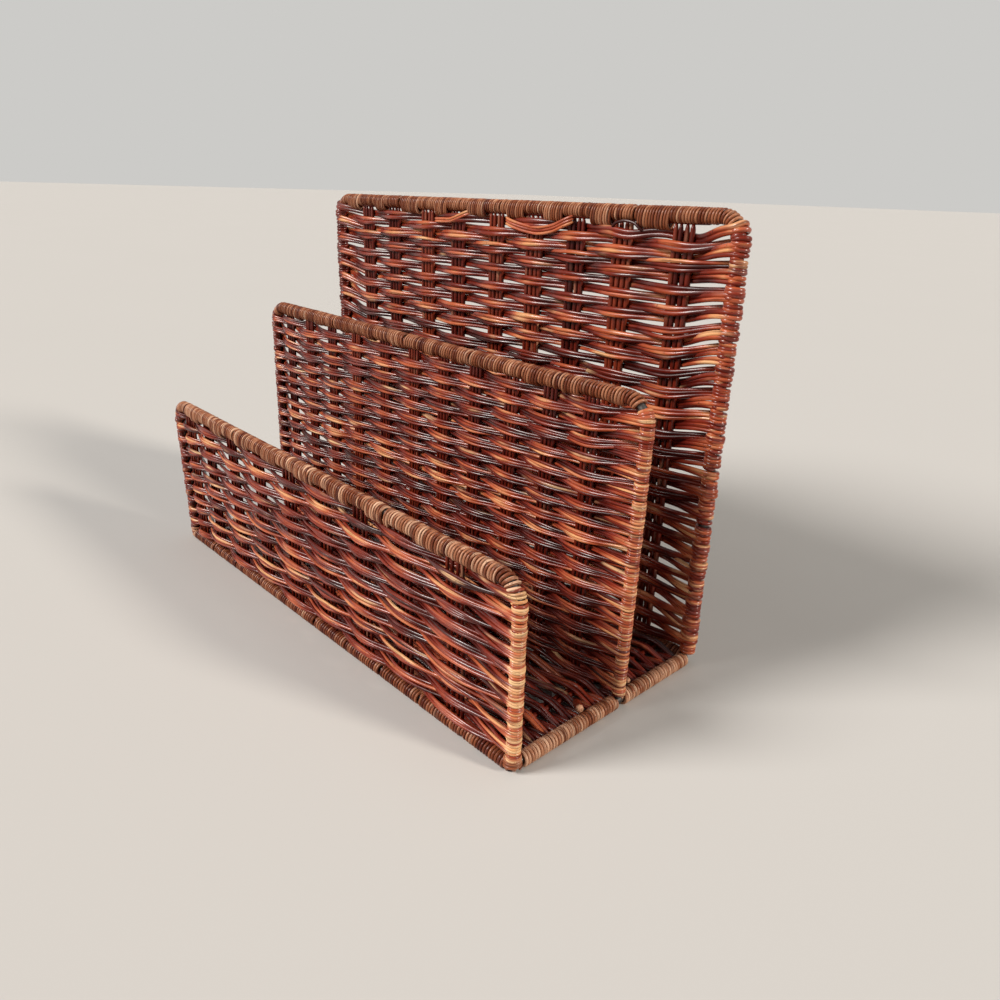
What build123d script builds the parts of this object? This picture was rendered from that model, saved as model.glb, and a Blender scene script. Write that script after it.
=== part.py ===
# Wicker letter rack: three upright woven panels on a woven base, over bent wire frames.
# X runs along the rack, Y from the low front panel to the tall back one, Z up from the table.
from build123d import *
import math
import os

# Wire frames, measured between the centre lines of the wires
frame_length = 243.8
frame_depth = 99.5
middle_setback = 54.5
front_rise = 70.0
middle_rise = 115.5
back_rise = 170.5
wire_diameter = 3.2
top_bend_radius = 8.5
base_bend_radius = 2.4

# Stakes: upright rods in flat groups, evenly spread along a panel
front_stake_groups = 9
middle_stake_groups = 11
back_stake_groups = 9
base_stake_groups = 9
panel_rods_per_group = 4
base_rods_per_group = 2
front_stake_diameter = 1.9
middle_stake_diameter = 1.7
back_stake_diameter = 2.2
base_stake_diameter = 2.0

# Weavers: pairs of strands, each pair one flat band that passes before and behind the stake groups
strands_per_row = 2
front_strand_diameter = 1.4
middle_strand_diameter = 1.4
back_strand_diameter = 1.7
base_strand_diameter = 1.4
front_row_pitch = 3.05
middle_row_pitch = 3.05
back_row_pitch = 4.0
base_row_pitch = 3.05
strand_spread = 0.1
base_weave_lift = 0.8

# Bindings: one strand wound round a wire, in lashings laid end to end
gap_samples_per_turn = 16
binding_diameter = 1.3
binding_pitch = 1.8
lashing_turns_limit = 24
corner_turns = 3.5
corner_half_turn_angle = 10.5
rim_cane_diameter = 1.9
floor_flat_depth = 0.5

# Clearances
seat_clearance = 0.05
weave_clearance = 0.2
lashing_gap = 0.45

# Values that follow from the sizes above
wire_radius = wire_diameter / 2
binding_radius = binding_diameter / 2
wrap_radius = wire_radius + seat_clearance + binding_radius
rim_cane_drop = wire_radius + seat_clearance + rim_cane_diameter / 2
rim_drop = rim_cane_diameter + seat_clearance
wrap_reach = math.hypot(wrap_radius, binding_pitch / 2) + binding_radius
rail_height = wrap_radius + binding_radius - floor_flat_depth
half_length = frame_length / 2
front_y = -frame_depth / 2
middle_y = front_y + middle_setback
back_y = frame_depth / 2
top_run = frame_length - 2 * top_bend_radius
rail_top = rail_height + wrap_radius + binding_radius
stake_foot = rail_top + seat_clearance
middle_stake_foot = rail_height + wire_radius + seat_clearance
rail_end_room = wrap_reach + weave_clearance
joint_half_slit = wire_radius + weave_clearance
weave_end = half_length - wrap_reach - weave_clearance

panels = {
    "front": {
        "y": front_y,
        "rise": front_rise,
        "foot": stake_foot,
        "groups": front_stake_groups,
        "stake": front_stake_diameter,
        "strand": front_strand_diameter,
        "pitch": front_row_pitch,
    },
    "middle": {
        "y": middle_y,
        "rise": middle_rise,
        "foot": middle_stake_foot,
        "groups": middle_stake_groups,
        "stake": middle_stake_diameter,
        "strand": middle_strand_diameter,
        "pitch": middle_row_pitch,
    },
    "back": {
        "y": back_y,
        "rise": back_rise,
        "foot": stake_foot,
        "groups": back_stake_groups,
        "stake": back_stake_diameter,
        "strand": back_strand_diameter,
        "pitch": back_row_pitch,
    },
}


def save(piece, name):
    """Label a finished piece and write it as its own file."""
    piece.part.label = name
    export_step(piece.part, f"parts/{name}.step")


def group_centres(groups):
    """Places of the stake groups along the rack, evenly spread between the side wires."""
    bay = frame_length / (groups + 1)
    return [bay * (i + 1) - half_length for i in range(groups)]


def rod_places(groups, rods, diameter):
    """Places along the rack of every rod, side by side within its group."""
    step = diameter + seat_clearance
    first = -step * (rods - 1) / 2
    return [x + first + step * i for x in group_centres(groups) for i in range(rods)]


def wave_rise(groups, rods, stake, strand):
    """Rise of a band's arc over a stake group, so that it clears the group's outer rods."""
    half_bay = frame_length / (groups + 1) / 2
    outer_rod = (stake + seat_clearance) * (rods - 1) / 2
    swing = (stake + strand) / 2 + seat_clearance
    return swing / (1 - (outer_rod / half_bay) ** 2)


def row_heights(low, high, pitch):
    """Middles of the weaver rows that fit between two heights, evenly spread."""
    rows = int((high - low) / pitch)
    spread = (high - low) / rows
    return [low + spread * (i + 0.5) for i in range(rows)]


def band_width(strand):
    """Width of a row's strands laid side by side."""
    return strands_per_row * strand + (strands_per_row - 1) * strand_spread


def lashing_plan(run):
    """Split a straight run of wire into equal lashings, with their half turns and pitch."""
    lashings = math.ceil(run / (lashing_turns_limit * binding_pitch))
    wound = run / lashings - binding_diameter - lashing_gap
    half_turns = int(wound / (binding_pitch / 2))
    half_turns -= 1 - half_turns % 2
    return lashings, half_turns, 2 * wound / half_turns


def lashing_stations(half_turns, pitch, drop):
    """Points and headings of a lashing about the Z axis, with straight square ends.

    The drop stretches the turns towards -X, round a cane that lies beside the wire.
    """
    out, back = Vector(1, 0, 0), Vector(-1, 0, 0)
    tail = drop if drop else binding_diameter
    stations = [(Vector(-tail, -wrap_radius, 0), out)]
    for i in range(half_turns + 1):
        z = i * pitch / 2
        side, way = (-wrap_radius, out) if i % 2 == 0 else (wrap_radius, back)
        near, far = Vector(0, side, z), Vector(-drop, side, z)
        if drop and 0 < i < half_turns:
            stations += [(far, way), (near, way)] if way is out else [(near, way), (far, way)]
        else:
            stations.append((near, way))
    return stations + [(Vector(-tail, wrap_radius, half_turns * pitch / 2), back)]


def corner_stations():
    """Points and headings of a lashing round the right-hand top bend of a panel's wire.

    The bend's centre is the origin, and the panel stands in the XZ plane.
    """
    half_turns = round(2 * corner_turns)
    first = 45 - corner_half_turn_angle * half_turns / 2
    stations = []
    for i in range(half_turns + 1):
        angle = math.radians(first + corner_half_turn_angle * i)
        outward = Vector(math.cos(angle), 0, math.sin(angle))
        sign = 1 if i % 2 == 0 else -1
        point = outward * top_bend_radius + Vector(0, -sign * wrap_radius, 0)
        stations.append((point, outward * sign))
    start, start_way = stations[0]
    end, end_way = stations[-1]
    tail_in = (start - start_way * binding_diameter, start_way)
    tail_out = (end + end_way * binding_diameter, end_way)
    return [tail_in] + stations + [tail_out]


def wind(stations):
    """Draw a lashing through its stations: two tangent arcs a half turn, and straight ends."""
    for (start, start_way), (end, end_way) in zip(stations, stations[1:]):
        chord = end - start
        if start_way.dot(end_way) > 0:
            Line(start, end)
            continue
        ways = start_way + end_way
        lean = chord.dot(ways)
        square = ways.dot(ways) - 4
        reach = (lean - math.sqrt(lean**2 - square * chord.dot(chord))) / square
        first, last = start + start_way * reach, end - end_way * reach
        joint = (first + last) * 0.5
        TangentArc(start, joint, tangent=start_way)
        TangentArc(joint, end, tangent=last - first)


def least_gap(path, turns):
    """Least gap between turns of one tube, measured on points along its centre line."""
    steps = round(turns * gap_samples_per_turn)
    points = [path @ (i / steps) for i in range(steps + 1)]
    half_turn = gap_samples_per_turn // 2
    two_turns = gap_samples_per_turn * 2
    nearest = min(
        (points[i] - points[j]).length
        for i in range(len(points))
        for j in range(i + half_turn, min(i + two_turns, len(points)))
    )
    return nearest - binding_diameter


def wound_tube(stations, turns, name):
    """One unbroken tube wound through its stations."""
    with BuildPart() as tube:
        with BuildLine() as course:
            wind(stations)
        path = course.wire()
        with BuildSketch(Plane(origin=path @ 0, z_dir=path % 0)):
            Circle(binding_radius)
        sweep(path=path)
    print(f"{name}: {turns:g} turns, least gap {least_gap(path, turns):.2f} mm")
    return tube.part


def lashing(run, drop, name):
    """A lashing for a straight run of wire, with the places of its copies along the run."""
    lashings, half_turns, pitch = lashing_plan(run)
    tube = wound_tube(lashing_stations(half_turns, pitch, drop), half_turns / 2, name)
    bay = run / lashings
    margin = (bay - half_turns * pitch / 2) / 2
    return tube, [bay * i + margin for i in range(lashings)]


def along(start, axis, weave_side, distances):
    """Planes for lashings along a wire: Z follows the wire, X points away from the weave."""
    start, axis = Vector(start), Vector(axis)
    away = -Vector(weave_side)
    return [Plane(origin=start + axis * d, x_dir=away, z_dir=axis) for d in distances]


def wave_edge(groups, rise, shift):
    """Draw one long edge of a band: an arc over each stake group in turn, and straight ends."""
    bay = frame_length / (groups + 1)
    crossings = [bay * (i + 0.5) - half_length for i in range(groups + 1)]
    Line((-weave_end, shift), (crossings[0], shift))
    for start, end in zip(crossings, crossings[1:]):
        SagittaArc((start, shift), (end, shift), rise)
        rise = -rise
    Line((crossings[-1], shift), (weave_end, shift))


def wavy_band(plane, groups, rise, strand):
    """A row of strands as one band along the rack."""
    half_strand = strand / 2
    with BuildPart() as band:
        with BuildSketch(plane):
            with BuildLine():
                wave_edge(groups, rise, -half_strand)
                wave_edge(groups, rise, half_strand)
                Line((-weave_end, -half_strand), (-weave_end, half_strand))
                Line((weave_end, -half_strand), (weave_end, half_strand))
            make_face()
        extrude(amount=band_width(strand) / 2, both=True)
    return band.part


os.makedirs("parts", exist_ok=True)

# Base: a closed wire loop, and a cross wire under the middle panel
with BuildPart() as base_frame_wire:
    with BuildLine(Plane.XY.offset(rail_height)) as loop:
        FilletPolyline(
            (half_length, back_y),
            (-half_length, back_y),
            (-half_length, front_y),
            (half_length, front_y),
            radius=base_bend_radius,
            close=True,
        )
    with BuildSketch(Plane(origin=loop.line @ 0, z_dir=loop.line % 0)):
        Circle(wire_radius)
    sweep(path=loop.wire())
save(base_frame_wire, "base_frame_wire")

cross_wire_length = frame_length - wire_diameter - 2 * seat_clearance
with BuildPart() as base_cross_wire:
    with BuildSketch(Plane.YZ.offset(-cross_wire_length / 2)):
        with Locations((middle_y, rail_height)):
            Circle(wire_radius)
    extrude(amount=cross_wire_length)
save(base_cross_wire, "base_cross_wire")

# Base stakes run front to back, stopped at the bound rails and at the cross wire
base_weave_height = rail_height + base_weave_lift
stake_rail_gap = wrap_reach + seat_clearance
stake_cross_gap = wire_radius + seat_clearance
base_fields = [
    (front_y + stake_rail_gap, middle_y - stake_cross_gap),
    (middle_y + stake_cross_gap, back_y - stake_rail_gap),
]
base_rods = rod_places(base_stake_groups, base_rods_per_group, base_stake_diameter)
with BuildPart() as base_stakes:
    for near, far in base_fields:
        with BuildSketch(Plane.XZ.offset(-near)):
            with Locations(*[(x, base_weave_height) for x in base_rods]):
                Circle(base_stake_diameter / 2)
        extrude(amount=near - far)
save(base_stakes, "base_stakes")

# Base weavers run along the rack, on either side of the cross wire
base_rows = []
for near, far in base_fields:
    base_rows += row_heights(near + seat_clearance, far - seat_clearance, base_row_pitch)
base_wave_rise = wave_rise(
    base_stake_groups, base_rods_per_group, base_stake_diameter, base_strand_diameter
)
with BuildPart() as base_weavers:
    for phase, rise in enumerate((base_wave_rise, -base_wave_rise)):
        band = wavy_band(Plane.XZ, base_stake_groups, rise, base_strand_diameter)
        with Locations(*[(0, y, base_weave_height) for y in base_rows[phase::2]]):
            add(band, clean=False)
save(base_weavers, "base_weavers")

# Base bindings: lashings on the four rails, cut flat where the rack stands
rail_run = frame_length - 2 * rail_end_room
rail_tube, rail_places = lashing(rail_run, 0, "long rail lashing")
front_side_run = middle_setback - rail_end_room - joint_half_slit
front_side_tube, front_side_places = lashing(front_side_run, 0, "front side rail lashing")
back_side_run = frame_depth - middle_setback - rail_end_room - joint_half_slit
back_side_tube, back_side_places = lashing(back_side_run, 0, "back side rail lashing")


def floor_cut(tube):
    """Cut a rail lashing flat where it meets the table, on its +Y side as it is wound."""
    with BuildPart() as flat_tube:
        add(tube)
        split(bisect_by=Plane.XZ.offset(-rail_height), keep=Keep.TOP)
    return flat_tube.part


flat_rail_tube = floor_cut(rail_tube)
flat_front_side_tube = floor_cut(front_side_tube)
flat_back_side_tube = floor_cut(back_side_tube)

rail_end = half_length - rail_end_room
with BuildPart() as base_front_binding:
    with Locations(*along((-rail_end, front_y, rail_height), (1, 0, 0), (0, 1, 0), rail_places)):
        add(flat_rail_tube, clean=False)
save(base_front_binding, "base_front_binding")

with BuildPart() as base_back_binding:
    with Locations(*along((rail_end, back_y, rail_height), (-1, 0, 0), (0, -1, 0), rail_places)):
        add(flat_rail_tube, clean=False)
save(base_back_binding, "base_back_binding")

front_rail_end = front_y + rail_end_room
back_rail_end = back_y - rail_end_room
slit_front = middle_y - joint_half_slit
slit_back = middle_y + joint_half_slit
with BuildPart() as base_right_binding:
    start = (half_length, front_rail_end, rail_height)
    with Locations(*along(start, (0, 1, 0), (-1, 0, 0), front_side_places)):
        add(flat_front_side_tube, clean=False)
    start = (half_length, slit_back, rail_height)
    with Locations(*along(start, (0, 1, 0), (-1, 0, 0), back_side_places)):
        add(flat_back_side_tube, clean=False)
save(base_right_binding, "base_right_binding")

with BuildPart() as base_left_binding:
    start = (-half_length, slit_front, rail_height)
    with Locations(*along(start, (0, -1, 0), (1, 0, 0), front_side_places)):
        add(flat_front_side_tube, clean=False)
    start = (-half_length, back_rail_end, rail_height)
    with Locations(*along(start, (0, -1, 0), (1, 0, 0), back_side_places)):
        add(flat_back_side_tube, clean=False)
save(base_left_binding, "base_left_binding")

# Top bindings share one lashing on the straight run and one round the bends
rim_tube, rim_places = lashing(top_run, rim_drop, "top rim lashing")
corner_tube = wound_tube(corner_stations(), corner_turns, "top corner lashing")

for name, panel in panels.items():
    y = panel["y"]
    rim_height = rail_height + panel["rise"]
    rim_bottom = rim_height - rim_drop - wrap_radius - binding_radius
    bend_height = rim_height - top_bend_radius
    upright = Plane.XZ.offset(-y)

    # Frame wire: an upturned U whose legs stand on the base loop
    leg_foot = rail_height + wire_radius + seat_clearance
    with BuildPart() as frame_wire:
        with BuildLine(upright) as bow:
            FilletPolyline(
                (-half_length, leg_foot),
                (-half_length, rim_height),
                (half_length, rim_height),
                (half_length, leg_foot),
                radius=top_bend_radius,
            )
        with BuildSketch(Plane(origin=bow.line @ 0, z_dir=bow.line % 0)):
            Circle(wire_radius)
        sweep(path=bow.wire())
    save(frame_wire, f"{name}_frame_wire")

    # Rim cane: lies under the top wire, inside the binding
    with BuildPart() as rim_cane:
        with BuildSketch(Plane.YZ.offset(-top_run / 2)):
            with Locations((y, rim_height - rim_cane_drop)):
                Circle(rim_cane_diameter / 2)
        extrude(amount=top_run)
    save(rim_cane, f"{name}_rim_cane")

    # Stakes stand between the bottom rail or cross wire and the bound rim
    rods = rod_places(panel["groups"], panel_rods_per_group, panel["stake"])
    with BuildPart() as stakes:
        with BuildSketch(Plane.XY.offset(panel["foot"])):
            with Locations(*[(x, y) for x in rods]):
                Circle(panel["stake"] / 2)
        extrude(amount=rim_bottom - seat_clearance - panel["foot"])
    save(stakes, f"{name}_stakes")

    # Weavers: rows that change sides from one row to the next
    weave_foot = base_weave_height + base_stake_diameter / 2 + base_strand_diameter + weave_clearance
    heights = row_heights(weave_foot, rim_bottom - weave_clearance, panel["pitch"])
    print(f"{name} panel: {len(heights)} weaver rows")
    panel_rise = wave_rise(panel["groups"], panel_rods_per_group, panel["stake"], panel["strand"])
    with BuildPart() as weavers:
        for phase, rise in enumerate((panel_rise, -panel_rise)):
            band = wavy_band(Plane.XY, panel["groups"], rise, panel["strand"])
            with Locations(*[(0, y, z) for z in heights[phase::2]]):
                add(band, clean=False)
    save(weavers, f"{name}_weavers")

    # Top binding: lashings on the straight run, and one round each bend
    run_start = (-top_run / 2, y, rim_height)
    right_bend = Vector(top_run / 2, y, bend_height)
    with BuildPart() as top_binding:
        with Locations(*along(run_start, (1, 0, 0), (0, 0, -1), rim_places)):
            add(rim_tube, clean=False)
        with Locations(right_bend):
            bend_lashing = add(corner_tube, clean=False)
        mirror(bend_lashing, about=Plane.YZ)
    save(top_binding, f"{name}_top_binding")

    # Side bindings: lashings on the legs, below the bends
    leg_start = rail_top + weave_clearance
    leg_tube, leg_places = lashing(bend_height - leg_start, 0, f"{name} side lashing")
    for side_name, side in (("left", -1), ("right", 1)):
        foot = (side * half_length, y, leg_start)
        with BuildPart() as side_binding:
            with Locations(*along(foot, (0, 0, 1), (-side, 0, 0), leg_places)):
                add(leg_tube, clean=False)
        save(side_binding, f"{name}_{side_name}_binding")
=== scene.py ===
import math

import bpy
import numpy as np
from mathutils import Matrix, Vector


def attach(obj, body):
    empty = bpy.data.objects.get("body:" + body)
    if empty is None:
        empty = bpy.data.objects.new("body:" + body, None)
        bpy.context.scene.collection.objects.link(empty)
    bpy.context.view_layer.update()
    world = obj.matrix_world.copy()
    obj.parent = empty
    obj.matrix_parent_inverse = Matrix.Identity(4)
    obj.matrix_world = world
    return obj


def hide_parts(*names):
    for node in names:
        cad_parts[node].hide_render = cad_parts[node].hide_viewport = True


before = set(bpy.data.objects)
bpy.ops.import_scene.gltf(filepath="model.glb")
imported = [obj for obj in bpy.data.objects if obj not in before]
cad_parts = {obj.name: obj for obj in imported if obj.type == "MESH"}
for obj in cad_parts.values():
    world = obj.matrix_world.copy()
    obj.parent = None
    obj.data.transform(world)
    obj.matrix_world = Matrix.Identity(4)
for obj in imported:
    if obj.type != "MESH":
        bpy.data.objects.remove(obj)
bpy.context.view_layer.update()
bpy.ops.object.select_all(action="DESELECT")
chance = np.random.default_rng(412)
mm = 0.001  # strands are laid out in millimetres
turnPoints = 8  # points of a strand on each turn round a wire
turnStep = math.radians(360 / turnPoints)
print("frame loaded:", len(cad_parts), "CAD nodes")


# Finishes

def stain(red, green, blue):
    # colours are written as they look on screen
    shares = (red / 255, green / 255, blue / 255)
    return tuple(((s + 0.055) / 1.055) ** 2.4 if s > 0.04 else s / 12.92 for s in shares) + (1.0,)


class Signal:
    def __init__(self, finish, socket):
        self.finish = finish
        self.socket = socket

    def maths(self, operation, first, second):
        return self.finish.add("ShaderNodeMath", {"operation": operation}, {0: first, 1: second})

    def __add__(self, other):
        return self.maths("ADD", self, other)

    def __sub__(self, other):
        return self.maths("SUBTRACT", self, other)

    def __rsub__(self, other):
        return self.maths("SUBTRACT", other, self)

    def __mul__(self, other):
        return self.maths("MULTIPLY", self, other)

    __radd__ = __add__
    __rmul__ = __mul__


class Finish:
    def __init__(self, name):
        self.material = bpy.data.materials.new(name)
        self.material.use_nodes = True
        self.tree = self.material.node_tree
        self.shader = self.tree.nodes["Principled BSDF"]

    def add(self, kind, settings, inputs, output=0):
        node = self.tree.nodes.new(kind)
        for key, value in settings.items():
            if key == "stops":
                ramp = node.color_ramp
                while len(ramp.elements) < len(value):
                    ramp.elements.new(0.5)
                for element, (place, colour) in zip(ramp.elements, value):
                    element.position = place
                    element.color = colour
            else:
                setattr(node, key, value)
        for key, value in inputs.items():
            self.feed(node.inputs[key], value)
        return Signal(self, node.outputs[output])

    def feed(self, socket, value):
        if isinstance(value, Signal):
            self.tree.links.new(value.socket, socket)
        else:
            socket.default_value = value

    def noise(self, coords, scale, detail):
        # scale is along the strand per millimetre, then round it per turn
        stretched = self.add("ShaderNodeVectorMath", {"operation": "MULTIPLY"}, {0: coords, 1: scale})
        return self.add("ShaderNodeTexNoise", {"noise_dimensions": "3D"},
                        {"Vector": stretched, "Scale": 1.0, "Detail": detail})

    def step(self, value, low, high):
        return self.add("ShaderNodeMapRange", {"interpolation_type": "SMOOTHSTEP"},
                        {"Value": value, "From Min": low, "From Max": high})

    def blend(self, share, first, second):
        return self.add("ShaderNodeMix", {"data_type": "RGBA"}, {0: share, 6: first, 7: second}, 2)


caneMarks = {
    "grainScale": (0.07, 7.0, 0.0), "patchScale": (0.055, 0.9, 0.0), "speckScale": (0.9, 3.0, 0.0),
    "wearHighlightShare": 0.55, "rubbedHighlightEdge": (0.66, 0.98), "lineEdge": (0.50, 0.68), "spotEdge": (0.66, 0.78),
    "spotDark": 0.6, "lineRoughness": 0.16, "rubbedHighlightRoughness": 0.10, "rubbedHighlightBare": 0.6,
    "glossScale": (0.11, 0.7, 0.0), "glossEdge": (0.42, 0.62), "glossShare": 0.8, "glossLeast": 0.2,
    "coatRoughness": 0.27, "coatTint": (1.0, 0.93, 0.90, 1.0), "specular": 0.12,
    "relief": 0.45, "reliefDepth": 0.0002, "speckRelief": 0.5,
}


def caneFinish(name, looks):
    finish = Finish(name)
    sockets = finish.shader.inputs
    tone = finish.add("ShaderNodeAttribute", {"attribute_name": "tone"}, {}, "Fac")
    wear = finish.add("ShaderNodeAttribute", {"attribute_name": "wear"}, {}, "Fac")
    lengthwise = finish.add("ShaderNodeUVMap", {"uv_map": "UVMap"}, {})
    grain = finish.noise(lengthwise, caneMarks["grainScale"], 3.0)
    patches = finish.noise(lengthwise, caneMarks["patchScale"], 2.0)
    specks = finish.noise(lengthwise, caneMarks["speckScale"], 1.0)

    stained = finish.add("ShaderNodeValToRGB", {"stops": looks["stain"]},
                         {0: tone + (patches - 0.5) * looks["mottle"]})
    # the pale mask is real wear, and painted highlight where the wear values were raised for light
    rubbedAndHighlight = finish.step(patches + wear * caneMarks["wearHighlightShare"], *caneMarks["rubbedHighlightEdge"])
    colour = finish.blend(rubbedAndHighlight, stained, looks["rubbedAndHighlight"])
    lines = finish.step(grain, *caneMarks["lineEdge"])
    colour = finish.blend(lines * looks["grain"], colour, looks["dark"])
    spots = finish.step(specks, *caneMarks["spotEdge"])
    colour = finish.blend(spots * caneMarks["spotDark"], colour, looks["dark"])

    finish.feed(sockets["Base Color"], colour)
    finish.feed(sockets["Roughness"], lines * caneMarks["lineRoughness"]
                + rubbedAndHighlight * caneMarks["rubbedHighlightRoughness"] + looks["roughness"])
    # the varnish has stayed in places
    glossy = finish.step(finish.noise(lengthwise, caneMarks["glossScale"], 1.0), *caneMarks["glossEdge"])
    glossy = glossy * caneMarks["glossShare"] + caneMarks["glossLeast"]
    finish.feed(sockets["Coat Weight"], (1 - rubbedAndHighlight * caneMarks["rubbedHighlightBare"]) * glossy * looks["varnish"])
    sockets["Coat Roughness"].default_value = caneMarks["coatRoughness"]
    sockets["Coat Tint"].default_value = caneMarks["coatTint"]
    sockets["Specular IOR Level"].default_value = caneMarks["specular"]
    relief = finish.add("ShaderNodeBump", {}, {
        "Strength": caneMarks["relief"], "Distance": caneMarks["reliefDepth"],
        "Height": specks * caneMarks["speckRelief"] - grain,
    })
    finish.feed(sockets["Normal"], relief)
    return finish.material


weaverLooks = {
    "stain": [(0.0, stain(50, 5, 2)), (0.25, stain(86, 20, 11)), (0.5, stain(128, 44, 26)),
              (0.75, stain(184, 94, 58)), (1.0, stain(224, 166, 114))],
    "rubbedAndHighlight": stain(228, 186, 138),
    "dark": stain(34, 4, 1),
    "mottle": 0.85,
    "grain": 0.60,
    "roughness": 0.34,
    "varnish": 1.0,
}
stakeShadedLooks = {
    # painted shade: dark stops, as for stakes deep in the weave's shade, on top of their dark red stain
    "stain": [(0.0, stain(58, 9, 4)), (0.4, stain(94, 25, 12)), (1.0, stain(136, 56, 30))],
    "rubbedAndHighlight": stain(204, 152, 120),
    "dark": stain(38, 5, 2),
    "mottle": 0.50,
    "grain": 0.55,
    "roughness": 0.38,
    "varnish": 0.35,
}
bindingLooks = {
    "stain": [(0.0, stain(82, 30, 18)), (0.35, stain(134, 74, 46)), (0.7, stain(178, 122, 90)),
              (1.0, stain(214, 170, 140))],
    "rubbedAndHighlight": stain(228, 186, 154),
    "dark": stain(54, 14, 6),
    "mottle": 0.60,
    "grain": 0.75,
    "roughness": 0.36,
    "varnish": 0.35,
}
weaverCane = caneFinish("weaverCane", weaverLooks)
stakeCaneShaded = caneFinish("stakeCaneShaded", stakeShadedLooks)
bindingCane = caneFinish("bindingCane", bindingLooks)


steelLooks = {
    "clean": stain(92, 88, 86), "rusty": stain(70, 42, 30), "blotchScale": 260.0, "rustEdge": (0.52, 0.70),
    "rustDull": 0.8, "roughness": 0.36, "rustRoughness": 0.35,
}


def steelFinish():
    finish = Finish("wireSteel")
    sockets = finish.shader.inputs
    coords = finish.add("ShaderNodeTexCoord", {}, {}, "Object")
    blotches = finish.add("ShaderNodeTexNoise", {}, {
        "Vector": coords, "Scale": steelLooks["blotchScale"], "Detail": 4.0,
    })
    rust = finish.step(blotches, *steelLooks["rustEdge"])
    finish.feed(sockets["Base Color"], finish.blend(rust, steelLooks["clean"], steelLooks["rusty"]))
    finish.feed(sockets["Metallic"], 1 - rust * steelLooks["rustDull"])
    finish.feed(sockets["Roughness"], rust * steelLooks["rustRoughness"] + steelLooks["roughness"])
    return finish.material


wireSteel = steelFinish()
print("finishes ready")


# Strands: each is a NURBS line with its own thickness, tone and wear; tone and wear are stain and real wear,
# and in places painted shade and painted highlight

def strand(points, radius, tone, wear=0.0):
    points = np.asarray(points, float)
    count = len(points)
    return {"points": points, "radius": np.broadcast_to(radius, count),
            "tone": np.broadcast_to(tone, count), "wear": np.broadcast_to(wear, count)}


def strandPiece(name, strands, finish, nodes, steps=2, onFloor=False):
    curve = bpy.data.curves.new(name, "CURVE")
    curve.dimensions = "3D"
    curve.bevel_depth = mm
    curve.bevel_resolution = 2  # eight sides
    sides = 8
    runs, rings = [], []
    painted = {"tone": [], "wear": []}
    for each in strands:
        places = each["points"]
        places = np.vstack([places[:1], places, places[-1:]])  # a doubled end point rounds the cut
        radii = np.hstack([0, each["radius"], 0])
        count = len(places)
        spline = curve.splines.new("NURBS")
        spline.points.add(count - 1)
        spline.points.foreach_set("co", np.c_[places * mm, np.ones(count)].ravel())
        spline.points.foreach_set("radius", radii)
        spline.order_u = 4
        spline.use_endpoint_u = True
        spline.resolution_u = steps
        ringCount = steps * (count - 1)
        along = np.linspace(0, count - 1, ringCount)
        for label, values in painted.items():
            ends = np.hstack([each[label][:1], each[label], each[label][-1:]])
            values.append(np.repeat(np.interp(along, np.arange(count), ends), sides))
        runs.append(np.linalg.norm(np.diff(places, axis=0), axis=1).sum())
        rings.append(ringCount * sides)
    piece = bpy.data.objects.new(name, curve)
    bpy.context.collection.objects.link(piece)
    bpy.ops.object.select_all(action="DESELECT")
    piece.select_set(True)
    bpy.context.view_layer.objects.active = piece
    bpy.ops.object.convert(target="MESH")
    piece = bpy.context.object
    mesh = piece.data

    for label, values in painted.items():
        mesh.attributes.new(label, "FLOAT", "POINT").data.foreach_set("value", np.concatenate(values))
    # the map runs in millimetres along each strand, from a start of its own
    owner = np.repeat(np.arange(len(strands)), rings)
    corners = np.empty(len(mesh.loops), dtype=np.int32)
    mesh.loops.foreach_get("vertex_index", corners)
    layer = mesh.uv_layers["UVMap"].data
    uv = np.empty(len(mesh.loops) * 2)
    layer.foreach_get("uv", uv)
    uv = uv.reshape(-1, 2)
    starts = chance.uniform(0, 4000, len(strands))
    uv[:, 0] = uv[:, 0] * np.array(runs)[owner[corners]] + starts[owner[corners]]
    uv[:, 1] += chance.uniform(0, 40, len(strands))[owner[corners]]
    layer.foreach_set("uv", uv.ravel())
    if onFloor:
        places = np.empty(len(mesh.vertices) * 3)
        mesh.vertices.foreach_get("co", places)
        places[2::3] = np.maximum(places[2::3], 0.0)  # pressed flat where it stands
        mesh.vertices.foreach_set("co", places)

    bpy.ops.object.mode_set(mode="EDIT")
    bpy.ops.mesh.select_all(action="SELECT")
    bpy.ops.mesh.remove_doubles(threshold=1e-7)
    bpy.ops.mesh.normals_make_consistent(inside=False)
    bpy.ops.object.mode_set(mode="OBJECT")
    bpy.ops.object.shade_smooth()
    mesh.materials.clear()
    mesh.materials.append(finish)
    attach(piece, "root")
    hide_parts(*nodes)
    print(name, len(strands), "strands", sum(len(p.vertices) - 2 for p in mesh.polygons), "triangles")


def wanderer(reach, size):
    # a slow wander along a strand, as hand work has
    waves = chance.uniform(0.6, 1.5, 3) * 2 * math.pi / reach
    phases = chance.uniform(0, 2 * math.pi, 3)
    return lambda places: size * np.sin(np.outer(places, waves) + phases).sum(axis=1) / 2


def drift(places, reach, size):
    return wanderer(reach, size)(places)


# The rack's own sizes, as the CAD has them

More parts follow.
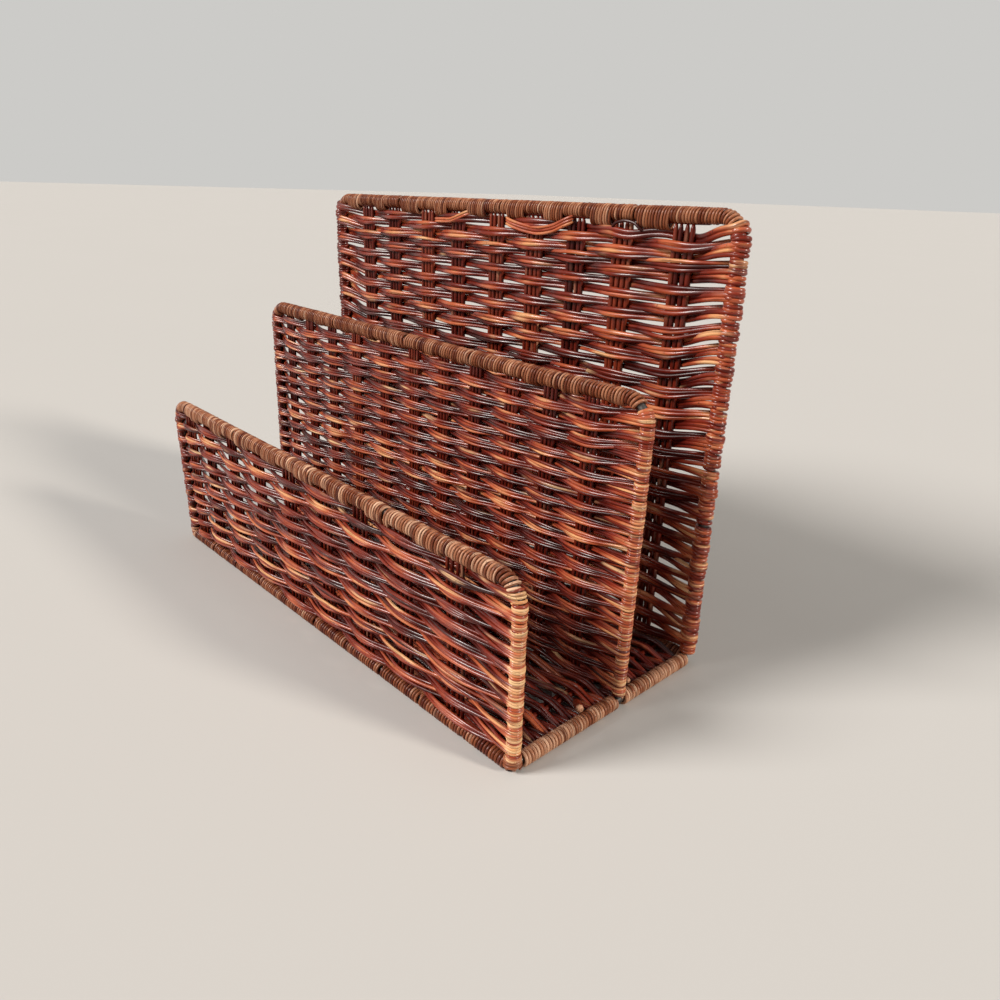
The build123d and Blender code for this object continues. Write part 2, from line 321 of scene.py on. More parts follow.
rack = {
    "halfLength": 121.9,  # to the middle of the side wires
    "halfDepth": 49.75,
    "middleY": 4.75,
    "railHeight": 2.45,  # middle of the base wire
    "wireRadius": 1.6,
    "cornerRadius": 8.5,
    "railTop": 6.2,
    "turnShrink": 0.902,  # an eight-point turn of a cubic line keeps this share of its radius
    "tuck": 0.72,  # share of a turn's radius where its end is tucked under
}
frontPanel = {
    "name": "front", "y": -rack["halfDepth"], "rise": 70.0,
    "extraRise": (1.4, -2.7), "lean": (-1.6, 0.0),  # at the left and right ends of the top
    "stakes": (-110.5, -90.5, -66.0, -41.0, -15.0, 12.0, 38.0, 64.0, 92.5),
    "rodDiameter": 1.4, "rodSpacing": 2.4, "pairGap": 0.4,
    "rows": 20, "lowRow": 7.0, "highRow": 66.4, "strandsInRow": (3, 3, 4), "strandDiameter": 1.32,
    "tone": (0.15, 0.70),
    "swing": 2.3, "gather": 0.6, "sideTurns": (1.1, 0.8),
    "sideTone": (0.55, 1.0), "sideWear": (0.1, 0.85),
    "bareSpots": (),
    "rimPitch": 1.42, "rimThin": 1.2, "rimThick": 2.6, "rimWear": (0.0, 0.6), "rimTone": (0.1, 0.85),
    "rimEnds": (52, 52), "dips": (),
}
middlePanel = {
    "name": "middle", "y": rack["middleY"], "rise": 115.5,
    "extraRise": (0.1, -1.4), "lean": (1.4, 1.4),
    "stakes": (-108.0, -88.0, -68.0, -46.6, -24.0, -2.4, 17.6, 37.6, 58.4, 78.4, 98.8),
    "rodDiameter": 1.55, "rodSpacing": 1.75, "pairGap": 0.25,
    "rows": 35, "lowRow": 7.0, "highRow": 111.6, "strandsInRow": (3, 3, 4), "strandDiameter": 1.30,
    "tone": (0.18, 0.68),
    "swing": 1.95, "gather": 0.8, "sideTurns": (1.0, 0.75),
    "sideTone": (0.4, 0.9), "sideWear": (0.1, 0.5),
    "bareSpots": (),
    "rimPitch": 1.40, "rimThin": 0.8, "rimThick": 1.5, "rimWear": (0.0, 0.35), "rimTone": (0.1, 0.7),
    "rimEnds": (52, 40), "dips": (),
}
backPanel = {
    "name": "back", "y": rack["halfDepth"], "rise": 170.5,
    "extraRise": (-1.4, -0.1), "lean": (-0.8, -0.8),
    "stakes": (-96.0, -73.5, -47.0, -24.0, 2.0, 25.0, 48.4, 72.0, 98.6),
    "rodDiameter": 2.2, "rodSpacing": 2.25, "pairGap": 0.5,
    "rows": 42, "lowRow": 7.4, "highRow": 166.8, "strandsInRow": (2, 3, 3), "strandDiameter": 1.66,
    "tone": (0.18, 0.66),
    "swing": 2.25, "gather": 0.78, "sideTurns": (1.25, 1.0),
    "sideTone": (0.35, 0.75), "sideWear": (0.0, 0.35),
    "bareSpots": ((1, 62.0, 1.6), (1, 84.0, 1.4)),  # side, height and width of bare wire
    "rimPitch": 1.30, "rimThin": 0.3, "rimThick": 2.6, "rimWear": (0.0, 0.35), "rimTone": (0.15, 0.65),
    "rimEnds": (52, 52),  # where the rim's turns stop on the bends, in degrees
    "dips": ((55.0, 9.0, 0.8), (76.0, 8.0, 2.0), (106.0, 9.0, 2.6)),  # where, how wide, how deep
}
panels = (frontPanel, middlePanel, backPanel)


def settle(panel, points):
    # the bows stand a little out of true, as bent by hand
    points = np.array(points, float)
    across = np.clip((points[:, 0] / rack["halfLength"] + 1) / 2, -0.05, 1.05)
    up = np.maximum(points[:, 2] - rack["railHeight"], 0) / panel["rise"]
    points[:, 2] += up * np.interp(across, (0, 1), panel["extraRise"])
    points[:, 1] += up * np.interp(across, (0, 1), panel["lean"])
    return points


def rimPlace(panel, run):
    # middle of the bow's wire and its outward direction, at a run measured from the top's middle
    half = rack["halfLength"]
    bend = rack["cornerRadius"]
    top = rack["railHeight"] + panel["rise"]
    straight = half - bend
    quarter = math.pi / 2 * bend
    side = math.copysign(1, run)
    run = abs(run)
    if run <= straight:
        return np.array([side * run, top]), np.array([0.0, 1.0])
    turn = min((run - straight) / bend, math.pi / 2)
    out = np.array([side * math.sin(turn), math.cos(turn)])
    place = np.array([side * straight, top - bend]) + bend * out
    place[1] -= max(run - straight - quarter, 0)
    return place, out


# Steel wires

def wirePiece(name, points, nodes):
    strandPiece(name, [strand(points, rack["wireRadius"], 0.5)], wireSteel, nodes, 4)


def bowPoints(panel):
    legRun = rack["halfLength"] - rack["cornerRadius"] + math.pi / 2 * rack["cornerRadius"]
    foot = legRun + panel["rise"] - rack["cornerRadius"]
    arc = np.linspace(legRun - 15.0, legRun + 2.0, 9)
    runs = np.hstack([np.linspace(0, arc[0] - 6, 6), arc, np.linspace(arc[-1] + 6, foot, 5)])
    runs = np.hstack([-runs[:0:-1], runs])
    places = np.array([rimPlace(panel, run)[0] for run in runs])
    return settle(panel, np.c_[places[:, 0], np.full(len(runs), panel["y"]), places[:, 1]])


for panel in panels:
    wirePiece(panel["name"] + "Bow", bowPoints(panel), [panel["name"] + "_frame_wire"])

loopBend = 2.4
cornerPull = 0.3
loopCorners = []
for sideX, sideY in ((1, -1), (1, 1), (-1, 1), (-1, -1)):
    for pullX, pullY in ((loopBend, 0), (cornerPull, cornerPull), (0, loopBend)):
        if sideX * sideY > 0:
            pullX, pullY = pullY, pullX
        loopCorners.append((sideX * (rack["halfLength"] - pullX), sideY * (rack["halfDepth"] - pullY),
                            rack["railHeight"]))
middleFront = (0.0, -rack["halfDepth"], rack["railHeight"])
wirePiece("baseLoop", [middleFront] + loopCorners + [middleFront], ["base_frame_wire"])
crossEnd = rack["halfLength"] - 1.0
crossPoints = [(x, rack["middleY"], rack["railHeight"]) for x in np.linspace(-crossEnd, crossEnd, 6)]
wirePiece("baseCross", crossPoints, ["base_cross_wire"])


# Stakes: four thin rods side by side in each group, two and two

stakeMake = {
    "places": (-1.5, -0.5, 0.5, 1.5), "points": 12, "tilt": 0.5, "tone": (0.1, 0.7), "toneSpread": 0.15,
    "sizes": (0.9, 1.04), "wear": (0, 0.25),
    "sway": (70, 0.22), "depthSway": (40, 0.12),  # reach and size of a rod's wander
}


def stakeRods(panel):
    rods = []
    top = rack["railHeight"] + panel["rise"] - 1.0
    heights = np.linspace(rack["railHeight"], top, stakeMake["points"])
    for centre in panel["stakes"]:
        tilt = chance.normal(0, stakeMake["tilt"])
        groupTone = chance.uniform(*stakeMake["tone"])
        for place in stakeMake["places"]:
            across = centre + place * panel["rodSpacing"] + math.copysign(panel["pairGap"] / 2, place)
            x = across + tilt * (heights / top - 0.5) + drift(heights, *stakeMake["sway"])
            y = panel["y"] + drift(heights, *stakeMake["depthSway"])
            size = panel["rodDiameter"] / 2 * chance.uniform(*stakeMake["sizes"])
            tone = np.clip(groupTone + chance.normal(0, stakeMake["toneSpread"]), 0, 1)
            wear = chance.uniform(*stakeMake["wear"])
            rods.append(strand(settle(panel, np.c_[x, y, heights]), size, tone, wear))
    return rods


for panel in panels:
    strandPiece(panel["name"] + "Stakes", stakeRods(panel), stakeCaneShaded,
                [panel["name"] + "_stakes"])


# Weavers: rows of two to four strands that go before and behind the stakes, then wind round the side wires

weave = {
    "thickness": {2: 1.22, 3: 1.0, 4: 0.86},  # of a strand, by the number in its row
    "packing": 0.96, "sizes": (0.95, 1.08), "heightSpread": 0.2,
    "rowTone": (2.2, 2.2), "toneSpread": 0.16, "toneTop": 0.9,
    "rowSway": (120, 0.4), "sway": (60, 0.15), "depthSway": (45, 0.12), "thickSway": (14, 0.06),
    "wavePoints": 6, "twist": 1.5, "dipFade": 5,
    # painted highlight on the crests and painted shade in the hollows, through wear and tone
    "crestHighlight": 0.12, "crestShadeAndHighlight": 0.45, "shadeHighlightMiddle": 0.65, "wearTop": 0.6,
    "goldenSway": (55, 1.0), "goldenFrom": 0.55, "goldenShare": 0.45,
    "slope": 26,  # length over which a row slopes to its side turns
    "firstTurn": 0.8,  # how far the side turns start below the top of the rails
    "turnSpread": 0.1, "endSink": 0.4, "endReach": 0.35,
    "leftShade": 0.55,  # painted shade: the left rims' tone and wear are lowered, as on the side away from the light
}


def sidePlace(panel, side, climb):
    # middle of the wire and its outward direction, so far up a leg and on round its bend
    legTop = rack["railHeight"] + panel["rise"] - rack["cornerRadius"]
    legRun = rack["halfLength"] + (math.pi / 2 - 1) * rack["cornerRadius"]
    return rimPlace(panel, side * (legRun + legTop - climb))


def wrapPoints(panel, winding, radius):
    # from where the strand meets the side wire, round it, to its tucked end
    side, face = winding["side"], winding["face"]
    count = max(int(round(turnPoints * winding["turns"])), 4)
    steps = np.arange(1, count + 1)
    reaches = np.full(count, (rack["wireRadius"] + radius) / rack["turnShrink"])
    reaches[-2:] = (rack["wireRadius"] + weave["endReach"] * radius, rack["wireRadius"] - weave["endSink"])
    points = []
    for step, reach in zip(steps, reaches):
        turn = turnStep * step
        climb = winding["start"] + face * winding["pitch"] * step / turnPoints
        place, outward = sidePlace(panel, side, climb)
        place = place + outward * reach * math.sin(turn)
        points.append((place[0], panel["y"] + face * reach * math.cos(turn), place[1]))
    return np.array(points)


def layRows(panel):
    # each strand's place in its row, with its thickness and stain
    heights = np.linspace(panel["lowRow"], panel["highRow"], panel["rows"])
    heights[1:-1] += chance.normal(0, weave["heightSpread"], panel["rows"] - 2)
    laid = []
    for row, height in enumerate(heights):
        count = chance.choice(panel["strandsInRow"])
        thick = panel["strandDiameter"] * weave["thickness"][count]
        tone = np.interp(chance.beta(*weave["rowTone"]), (0, 1), panel["tone"])
        sway = wanderer(*weave["rowSway"])
        for place in np.arange(count) - (count - 1) / 2:
            laid.append({
                "row": row, "height": height, "sway": sway, "offset": place * thick * weave["packing"],
                "twist": chance.choice((-1, 1)), "radius": thick / 2 * chance.uniform(*weave["sizes"]),
                "tone": float(np.clip(tone + chance.normal(0, weave["toneSpread"]), 0.0, weave["toneTop"])),
                "face": -1 if row % 2 else 1,  # side of the left wire that it starts on
            })
    return laid


def sideWinding(panel, laid, side):
    # shares the length of a side wire out among the strands that wind round it
    low = rack["railTop"] - weave["firstTurn"]
    bend = math.radians(90 - max(panel["rimEnds"]))
    high = rack["railHeight"] + panel["rise"] + (bend - 1) * rack["cornerRadius"]
    bareSpots = [(height, width) for where, height, width in panel["bareSpots"] if where == side]
    swaps = len(panel["stakes"]) + 1 if side > 0 else 0
    faces = [each["face"] * (-1) ** swaps for each in laid]
    turns = np.array([panel["sideTurns"][0 if face < 0 else 1] for face in faces])
    pitch = (high - low - sum(width for height, width in bareSpots)) / turns.sum()
    tops = low + np.cumsum(turns) * pitch
    for height, width in bareSpots:
        tops[tops > height] += width
    starts = [top if face < 0 else top - turn * pitch for face, turn, top in zip(faces, turns, tops)]
    return [{"side": side, "face": face, "start": start + chance.normal(0, weave["turnSpread"]),
             "turns": turn, "pitch": pitch}
            for face, start, turn in zip(faces, starts, turns)]


def weaveRun(panel, face, radius):
    # half waves from wire to stake to wire, with how far the row's strands spread at each point
    stops = np.array((-rack["halfLength"],) + panel["stakes"] + (rack["halfLength"],))
    swings = np.full(len(stops), panel["swing"])
    swings[[0, -1]] = rack["wireRadius"] + radius
    swings *= face * (-1.0) ** np.arange(len(stops))
    waves = np.arange(0, len(stops) - 1, 1 / weave["wavePoints"])
    waves = np.append(waves, len(stops) - 1.0)
    bays = np.minimum(waves.astype(int), len(stops) - 2)
    share = waves - bays
    turned = (1 - np.cos(math.pi * share)) / 2
    x = np.interp(waves, np.arange(len(stops)), stops)
    y = swings[bays] * (1 - turned) + swings[bays + 1] * turned
    return x, y, 1 - (1 - panel["gather"]) * np.sin(math.pi * share) ** 2


def weaverStrand(panel, each, windings):
    radius = each["radius"]
    x, y, spread = weaveRun(panel, each["face"], radius)
    z = each["height"] + each["sway"](x) + each["offset"] * spread + drift(x, *weave["sway"])
    y = y + each["offset"] * (1 - spread) * weave["twist"] * each["twist"] + drift(x, *weave["depthSway"])
    for centre, width, depth in panel["dips"]:
        below = (panel["highRow"] - each["height"]) / weave["dipFade"]
        z -= depth * np.exp(-((x - centre) / width) ** 2) * math.exp(-below)
    run = np.c_[x, panel["y"] + y, z]
    crest = np.abs(y) / panel["swing"]  # painted shade darkens the hollows and a painted highlight lightens the crests
    golden = weave["goldenShare"] * np.maximum(drift(x, *weave["goldenSway"]) - weave["goldenFrom"], 0)
    parts = [run]
    # painted highlight: wear and tone raised on the crests; painted shade: tone lowered in the hollows
    wear = [np.clip(weave["crestHighlight"] * crest + golden, 0, weave["wearTop"])]
    tone = [each["tone"] + weave["crestShadeAndHighlight"] * (crest - weave["shadeHighlightMiddle"])]
    for winding in windings:
        # the run slopes to where its turns start
        side = winding["side"]
        end = -1 if side > 0 else 0
        meet = sidePlace(panel, side, winding["start"])[0]
        pull = np.clip((side * x - rack["halfLength"] + weave["slope"]) / weave["slope"], 0, 1)
        pull = pull * pull * (3 - 2 * pull)
        run[:, 2] += pull * (meet[1] - run[end, 2])
        run[:, 0] += pull * (meet[0] - run[end, 0])
        wound = wrapPoints(panel, winding, radius)
        place = len(parts) if side > 0 else 0
        parts.insert(place, wound[::side])
        # painted shade on the left side's turns
        shade = 1.0 if side > 0 else weave["leftShade"]
        wear.insert(place, np.full(len(wound), shade * chance.uniform(*panel["sideWear"])))
        tone.insert(place, np.full(len(wound), shade * chance.uniform(*panel["sideTone"])))
    points = np.vstack(parts)
    thickness = radius * (1 + drift(np.arange(len(points)), *weave["thickSway"]))
    return strand(settle(panel, points), thickness, np.hstack(tone), np.hstack(wear))


def weavers(panel):
    laid = layRows(panel)
    windings = zip(sideWinding(panel, laid, -1), sideWinding(panel, laid, 1))
    return [(each["row"], weaverStrand(panel, each, pair)) for each, pair in zip(laid, windings)]


for panel in panels:
    strands = weavers(panel)
    name = panel["name"]
    nodes = [name + "_weavers", name + "_left_binding", name + "_right_binding"]
    for rest, label in enumerate(("Even", "Odd")):
        chosen = [each for row, each in strands if row % 2 == rest]
        strandPiece(name + "Weavers" + label, chosen, weaverCane, nodes)


# Top rims: close turns round the wire and the bent stake ends under it

rim = {
    "strand": 0.59, "sizes": (0.92, 1.05), "fullness": 0.02, "tilt": (0.25, 0.25), "bulge": 0.04,
    "lengths": (40, 75), "leastLength": 25,  # of one strand's run along the rim
    "stepWidths": (5.5, 8.0), "stepRoom": 3.0, "stepSpread": 0.2, "stepEnd": 1.0,
    "cane": 0.95, "caneTone": 0.3, "caneDrop": 0.8, "caneEnd": 2.0, "canePoints": 24,
}


def rimSteps(panel):
    # the bent stake ends make the rim deeper between the stakes than over them
    corner = rack["halfLength"] - rack["cornerRadius"] - rim["stepEnd"]
    marks, drops = [-corner], [0.0]
    for stake in panel["stakes"]:
        width = chance.uniform(*rim["stepWidths"])
        for edge, drop in ((stake - width, panel["rimThick"]), (stake + width, panel["rimThin"])):
            if marks[-1] + rim["stepRoom"] < edge < corner - rim["stepRoom"]:
                drops.append(max(drop + chance.normal(0, rim["stepSpread"]), 0.0))
                marks.append(edge)
    return np.array(marks + [corner]), np.array(drops + [panel["rimThin"], 0.0])


def rimTurns(panel):
    radius = rim["strand"]
    leftEnd, rightEnd = (rack["halfLength"] + (math.radians(angle) - 1) * rack["cornerRadius"]
                         for angle in panel["rimEnds"])
    marks, drops = rimSteps(panel)
    pitch = panel["rimPitch"]
    cuts = np.cumsum(chance.uniform(*rim["lengths"], 8)) - leftEnd
    cuts = [-leftEnd] + [cut for cut in cuts if cut < rightEnd - rim["leastLength"]] + [rightEnd]
    strands = []
    for start, finish in zip(cuts[:-1], cuts[1:]):
        count = int((finish - start) / pitch * turnPoints)
        tilt = chance.normal(*rim["tilt"])
        points = []
        for number in range(count):
            angle = number * turnStep
            run = start + number * pitch / turnPoints
            if number % turnPoints == 0:
                fullness = chance.normal(1.0, rim["fullness"])
                drop = drops[np.searchsorted(marks, run)]
            up, out = math.cos(angle), math.sin(angle)
            place, normal = rimPlace(panel, run + tilt * up)
            reach = (rack["wireRadius"] + radius) / rack["turnShrink"] * fullness
            if number < 2 or number > count - 3:
                reach *= rack["tuck"]
            sunk = drop if up < -0.1 else drop / 2 if up < 0.1 else 0.0
            place = place + normal * (reach * up - sunk)
            points.append((place[0], panel["y"] + reach * out * (1 + rim["bulge"] * drop), place[1]))
        turnNumbers = np.arange(count) // turnPoints
        tones = chance.uniform(*panel["rimTone"], turnNumbers[-1] + 1)[turnNumbers]
        wears = chance.uniform(*panel["rimWear"], turnNumbers[-1] + 1)[turnNumbers]
        thickness = radius * chance.uniform(*rim["sizes"], turnNumbers[-1] + 1)[turnNumbers]
        strands.append(strand(settle(panel, points), thickness, tones, wears))
    return strands


for panel in panels:
    name = panel["name"]
    strandPiece(name + "RimTurns", rimTurns(panel), bindingCane, [name + "_top_binding"])
    caneEnd = rack["halfLength"] - rack["cornerRadius"] - rim["caneEnd"]
    x = np.linspace(-caneEnd, caneEnd, rim["canePoints"])
    y = np.full(rim["canePoints"], panel["y"])
    z = np.full(rim["canePoints"], rack["railHeight"] + panel["rise"] - rack["wireRadius"] - rim["caneDrop"])
    rimCane = strand(settle(panel, np.c_[x, y, z]), rim["cane"], rim["caneTone"])
    strandPiece(name + "RimCane", [rimCane], stakeCaneShaded, [name + "_rim_cane"])


# Strand ends that loop out of the back panel and tuck up under its rim, as (along, up) places
tuckedEnds = (
    {"strands": 3, "tone": 0.75,
     "course": ((8.0, 168.6), (18.0, 166.4), (28.8, 165.0), (38.0, 166.6), (47.5, 170.8))},
    {"strands": 2, "tone": 0.8,
     "course": ((-40.0, 166.2), (-27.0, 166.4), (-14.0, 170.6))},
    {"strands": 1, "tone": 0.0,
     "course": ((67.5, 166.4), (69.5, 169.0), (74.0, 170.0), (79.0, 169.2), (82.5, 166.0))},
)
loopMake = {
    "points": 12, "radius": 0.62, "spacing": 1.2, "ahead": 0.4, "tuckBack": 1.8,
    "toneSpread": 0.08, "wear": 0.2,
}


def loopStrands(panel):
    loops = []
    for loop in tuckedEnds:
        places = np.array(loop["course"])
        runs = np.linspace(0, len(places) - 1, loopMake["points"])
        x, z = (np.interp(runs, np.arange(len(places)), column) for column in places.T)
        for place in range(loop["strands"]):
            y = np.full(loopMake["points"], panel["y"] - panel["swing"] - loopMake["ahead"])
            y[[0, -1]] += loopMake["tuckBack"]
            points = settle(panel, np.c_[x, y, z - loopMake["spacing"] * place])
            tone = loop["tone"] + chance.normal(0, loopMake["toneSpread"])
            loops.append(strand(points, loopMake["radius"], tone, loopMake["wear"]))
    return loops


strandPiece("backLoops", loopStrands(backPanel), weaverCane, ["back_weavers"])


# Base: rods across, strands along, and close turns on the four rails

base = {
    "lift": 0.8,  # of the weave's middle above the wires
    "stakeEnd": 108.0, "stakes": 9, "rodDiameter": 2.0, "rodSpacing": 1.05, "rodSway": (60, 0.2),
    "rodTone": (0.2, 0.8), "rodWear": 0.1,
    "rows": 30, "firstRow": -45.6, "strandDiameter": 1.75, "sizes": (0.93, 1.07),
    "crest": 2.2, "clear": 1.06, "gather": 0.7, "endLift": 1.2, "sway": (70, 0.3), "heightSway": (50, 0.08),
    "rowTone": (2.0, 2.4), "toneTop": 0.7, "toneSpread": 0.15, "wear": (0, 0.2),
    "cutEnds": (((119.9, -14.1, 6.0), 1.55), ((120.1, 13.2, 6.0), 1.15)),  # place and radius
    "cutWay": (0.75, -0.55, 0.25), "cutLength": 8.0, "cutTone": 0.7, "cutWear": 0.35,
    "railPitch": 1.45, "railStrand": 0.64, "railSizes": (0.97, 1.05), "railLengths": (16, 30),
    "railSpread": 0.012, "railGap": 0.2,
}
baseHeight = rack["railHeight"] + base["lift"]
baseStakes = np.linspace(-base["stakeEnd"], base["stakeEnd"], base["stakes"])


def baseRods():
    rods = []
    y = np.linspace(-rack["halfDepth"], rack["halfDepth"], 12)
    for centre in baseStakes:
        for place in (-0.5, 0.5):
            x = centre + place * base["rodDiameter"] * base["rodSpacing"] + drift(y, *base["rodSway"])
            z = np.full(len(y), baseHeight)
            z[[0, -1]] = rack["railHeight"]
            tone = chance.uniform(*base["rodTone"])
            rods.append(strand(np.c_[x, y, z], base["rodDiameter"] / 2, tone, base["rodWear"]))
    # rod ends cut off bare beside the right rail
    for end, radius in base["cutEnds"]:
        runs = np.linspace(-base["cutLength"], 0.0, 8)
        wear = np.where(runs > -1.0, 1.0, base["cutWear"])
        rods.append(strand(np.array(end) + np.outer(runs, base["cutWay"]), radius, base["cutTone"], wear))
    return rods


def baseStrands():
    strands = []
    half = rack["halfLength"]
    stops = np.hstack([-half, baseStakes, half])
    for row in range(base["rows"]):
        middle = base["firstRow"] - base["firstRow"] * 2 * row / (base["rows"] - 1)
        rowTone = chance.beta(*base["rowTone"]) * base["toneTop"]
        for place in (-0.5, 0.5):
            radius = base["strandDiameter"] / 2 * chance.uniform(*base["sizes"])
            reach = base["rodDiameter"] / 2 + radius
            x, z, gather = [], [], []
            for number, stop in enumerate(stops):
                side = (-1) ** (number + row)
                if number in (0, len(stops) - 1):
                    x.append(stop)
                    z.append(rack["railHeight"] + side * base["endLift"])
                    gather.append(1.0)
                else:
                    for shift in (-base["crest"], 0.0, base["crest"]):
                        x.append(stop + shift)
                        z.append(baseHeight + side * reach * base["clear"])
                        gather.append(1.0)
                if number < len(stops) - 1:
                    x.append((stop + stops[number + 1]) / 2)
                    z.append(baseHeight)
                    gather.append(base["gather"])
            x = np.array(x)
            y = middle + place * base["strandDiameter"] * np.array(gather) + drift(x, *base["sway"])
            z = np.array(z) + drift(x, *base["heightSway"])
            tone = np.clip(rowTone + chance.normal(0, base["toneSpread"]), 0, 1)
            strands.append(strand(np.c_[x, y, z], radius, tone, chance.uniform(*base["wear"])))
    return strands


def railPlace(rail, run):
    # middle of the rail's wire and its outward direction, also round the bend past its far end
    ahead = np.array(rail["ahead"], float)
    across = np.cross(ahead, (0, 0, 1))
    turn = max(run - rail["length"], 0) / loopBend
    outward = across * math.cos(turn) + ahead * math.sin(turn)
    place = np.array(rail["start"]) + ahead * min(run, rail["length"]) + (outward - across) * loopBend
    return place, outward


def railTurns(rail):
    # close turns along one rail, with bare wire in the gaps
    edges = [0.0]
    for middle, width in rail["gaps"]:
        edges += [middle - width / 2, middle + width / 2]
    edges.append(rail["length"] + rail["bend"])
    pitch, radius = base["railPitch"], base["railStrand"]
    up = np.array((0, 0, 1))
    turns = []
    for low, high in zip(edges[::2], edges[1::2]):
        parts = max(int((high - low) / chance.uniform(*base["railLengths"])), 1)
        marks = np.linspace(low, high, parts + 1)
        for first, last in zip(marks[:-1], marks[1:]):
            count = int((last - first - base["railGap"]) / pitch * turnPoints)
            start = chance.uniform(0, 6.3)  # any angle
            reach = (rack["wireRadius"] + radius) / rack["turnShrink"]
            reach = reach * chance.normal(1, base["railSpread"], count)
            reach[:2] *= rack["tuck"]
            reach[-2:] *= rack["tuck"]
            points = []
            for step in range(count):
                angle = start + step * turnStep
                place, outward = railPlace(rail, first + step * pitch / turnPoints)
                points.append(place + reach[step] * (outward * math.cos(angle) + up * math.sin(angle)))
            turnNumbers = np.arange(count) // turnPoints
            tones = chance.uniform(*rail["tone"], turnNumbers[-1] + 1)[turnNumbers]
            wears = chance.uniform(*rail["wear"], turnNumbers[-1] + 1)[turnNumbers]
            turns.append(strand(points, radius * chance.uniform(*base["railSizes"]), tones, wears))
    return turns


foot = {
    "points": 30, "shift": 0.7, "reach": (2.9, 2.4), "height": (1.6, 6.4), "tuck": 0.75,
    "tone": (0.3, 0.8), "wear": 0.25,
}


def footTurns(side):
    # the front rail's strand goes on round the foot of the leg
    steps = np.arange(foot["points"])
    climb = steps / (foot["points"] - 1)
    angles = side * steps * turnStep
    reach = np.interp(climb, (0, 1), foot["reach"]) / rack["turnShrink"]
    reach[-2:] *= foot["tuck"]
    shift = foot["shift"] * (1 - climb)
    x = side * (rack["halfLength"] - shift) + reach * np.cos(angles)
    y = -rack["halfDepth"] + shift + reach * np.sin(angles)
    z = np.interp(climb, (0, 1), foot["height"])
    tones = chance.uniform(*foot["tone"], 4)[steps // turnPoints]
    return strand(np.c_[x, y, z], base["railStrand"], tones, foot["wear"])


strandPiece("baseStakes", baseRods(), stakeCaneShaded, ["base_stakes"])
strandPiece("baseWeavers", baseStrands(), weaverCane, ["base_weavers"], onFloor=True)
railX, railY, railZ = rack["halfLength"], rack["halfDepth"], rack["railHeight"]
longStart, sideStart, sideEnd = 1.0, 3.5, 2.0  # bare wire at the ends of the rails
longRail = 2 * railX - loopBend - longStart
sideRail = 2 * railY - sideStart - sideEnd
rails = {
    "Front": {
        "start": (-railX + longStart, -railY, railZ), "ahead": (1, 0, 0), "length": longRail, "bend": 3.2,
        # painted shade: the front rail's tone is kept low, as it stands in shade
        "gaps": (), "feet": (-1, 1), "tone": (0.0, 0.55), "wear": (0.0, 0.3),
    },
    "Back": {
        "start": (railX - longStart, railY, railZ), "ahead": (-1, 0, 0), "length": longRail, "bend": 3.2,
        "gaps": (), "feet": (), "tone": (0.1, 0.7), "wear": (0.0, 0.3),
    },
    "Left": {
        "start": (-railX, railY - sideStart, railZ), "ahead": (0, -1, 0), "length": sideRail, "bend": 0.0,
        "gaps": ((railY - rack["middleY"] - sideStart, 4.4),),  # at the cross wire
        "feet": (), "tone": (0.2, 0.8), "wear": (0.0, 0.4),
    },
    "Right": {
        "start": (railX, -railY + sideStart, railZ), "ahead": (0, 1, 0), "length": sideRail, "bend": 0.0,
        "gaps": ((railY + rack["middleY"] - sideStart, 2.8),),
        # painted light: the right rail's tone and wear are raised, as the light falls on it
        "feet": (), "tone": (0.35, 0.95), "wear": (0.1, 0.6),
    },
}
for name, rail in rails.items():
    turns = railTurns(rail) + [footTurns(side) for side in rail["feet"]]
    strandPiece("base" + name + "Turns", turns, bindingCane,
                ["base_" + name.lower() + "_binding"], onFloor=True)
print("rack dressed")


# Stage

view = {
    "azimuth": 46.176, "elevation": 21.584, "roll": 1.845, "lens": 28.343,
    "place": (0.26835, -0.19984, 0.17923),
}
stage = {
    "floorSize": 40.0, "floor": stain(200, 198, 194), "floorCloud": stain(195, 193, 189), "cloudScale": 3.0,
    "cloudShare": 0.3, "floorRoughness": 0.7, "floorSpecular": 0.05,
    "backdrop": stain(204, 203, 200), "ambient": 0.12, "ambientColour": (0.92, 0.94, 1.0, 1.0),
}
# lamp: where it stands as seen from the rack, strength, softness in degrees, colour
lamps = {
    "keyRight": ((1.0, 0.34, 0.50), 2.45, 10, (1.0, 0.92, 0.82)),
    "frontWindow": ((-0.38, -0.74, 0.55), 4.0, 22, (1.0, 0.95, 0.91)),
    "overhead": ((0.05, 0.15, 1.0), 0.3, 40, (1.0, 1.0, 1.0)),
}


def aim(azimuth, elevation, roll):
    turn, rise, tip = (math.radians(angle) for angle in (azimuth, elevation, roll))
    back = Vector((math.sin(turn) * math.cos(rise), -math.cos(turn) * math.cos(rise), math.sin(rise)))
    right = Vector((math.cos(turn), math.sin(turn), 0))
    up = back.cross(right)
    rolledRight = right * math.cos(tip) + up * math.sin(tip)
    rolledUp = up * math.cos(tip) - right * math.sin(tip)
    return Matrix((rolledRight, rolledUp, back)).transposed().to_euler()


bpy.ops.object.camera_add(location=view["place"],
                          rotation=aim(view["azimuth"], view["elevation"], view["roll"]))
camera = bpy.context.object
camera.data.lens = view["lens"]
camera.data.sensor_width = 36.0
camera.data.clip_start = 0.01
bpy.context.scene.camera = camera

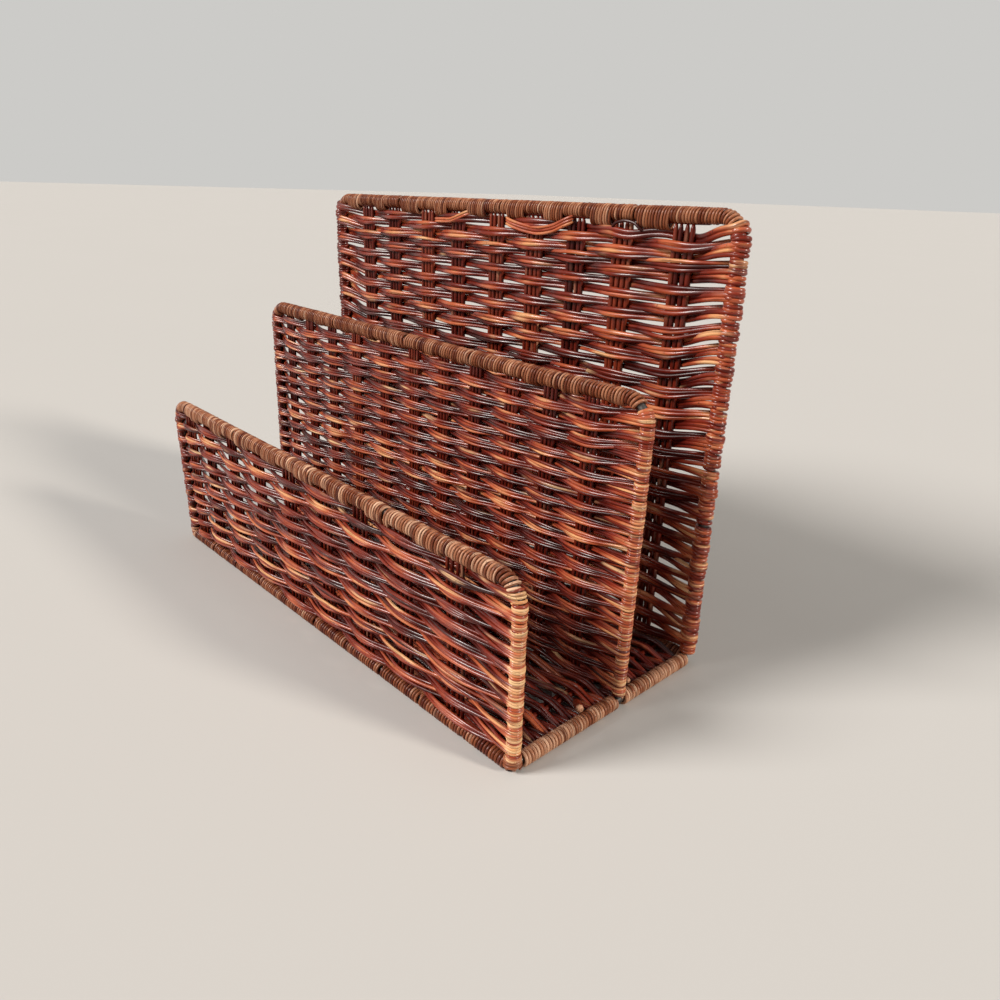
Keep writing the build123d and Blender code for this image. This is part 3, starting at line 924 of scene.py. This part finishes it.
bpy.ops.mesh.primitive_plane_add(size=stage["floorSize"], location=(0, 0, 0))
floor = bpy.context.object
floor.name = "floor"
floorFinish = Finish("paleFloor")
floorCoords = floorFinish.add("ShaderNodeTexCoord", {}, {}, "Object")
floorCloud = floorFinish.add("ShaderNodeTexNoise", {}, {"Vector": floorCoords, "Scale": stage["cloudScale"]})
floorFinish.feed(floorFinish.shader.inputs["Base Color"],
                 floorFinish.blend(floorCloud * stage["cloudShare"], stage["floor"], stage["floorCloud"]))
floorFinish.shader.inputs["Roughness"].default_value = stage["floorRoughness"]
floorFinish.shader.inputs["Specular IOR Level"].default_value = stage["floorSpecular"]
floor.data.materials.append(floorFinish.material)

for name, (place, strength, softness, colour) in lamps.items():
    facing = Vector(place).to_track_quat("Z", "Y").to_euler()
    bpy.ops.object.light_add(type="SUN", location=place, rotation=facing)
    lamp = bpy.context.object
    lamp.name = name
    lamp.data.energy = strength
    lamp.data.angle = math.radians(softness)
    lamp.data.color = colour

world = bpy.data.worlds.new("paleRoom")
bpy.context.scene.world = world
world.use_nodes = True
tree = world.node_tree
glow = tree.nodes["Background"]
glow.inputs["Color"].default_value = stage["ambientColour"]
glow.inputs["Strength"].default_value = stage["ambient"]
backdrop = tree.nodes.new("ShaderNodeBackground")
backdrop.inputs["Color"].default_value = stage["backdrop"]
rays = tree.nodes.new("ShaderNodeLightPath")
mixer = tree.nodes.new("ShaderNodeMixShader")
seen = rays.outputs["Is Camera Ray"]
for kind in ("Is Glossy Ray", "Is Transmission Ray"):
    either = tree.nodes.new("ShaderNodeMath")
    either.operation = "MAXIMUM"
    tree.links.new(seen, either.inputs[0])
    tree.links.new(rays.outputs[kind], either.inputs[1])
    seen = either.outputs[0]
tree.links.new(seen, mixer.inputs[0])
tree.links.new(glow.outputs[0], mixer.inputs[1])
tree.links.new(backdrop.outputs[0], mixer.inputs[2])
tree.links.new(mixer.outputs[0], tree.nodes["World Output"].inputs["Surface"])
bpy.context.scene.view_settings.view_transform = "Standard"
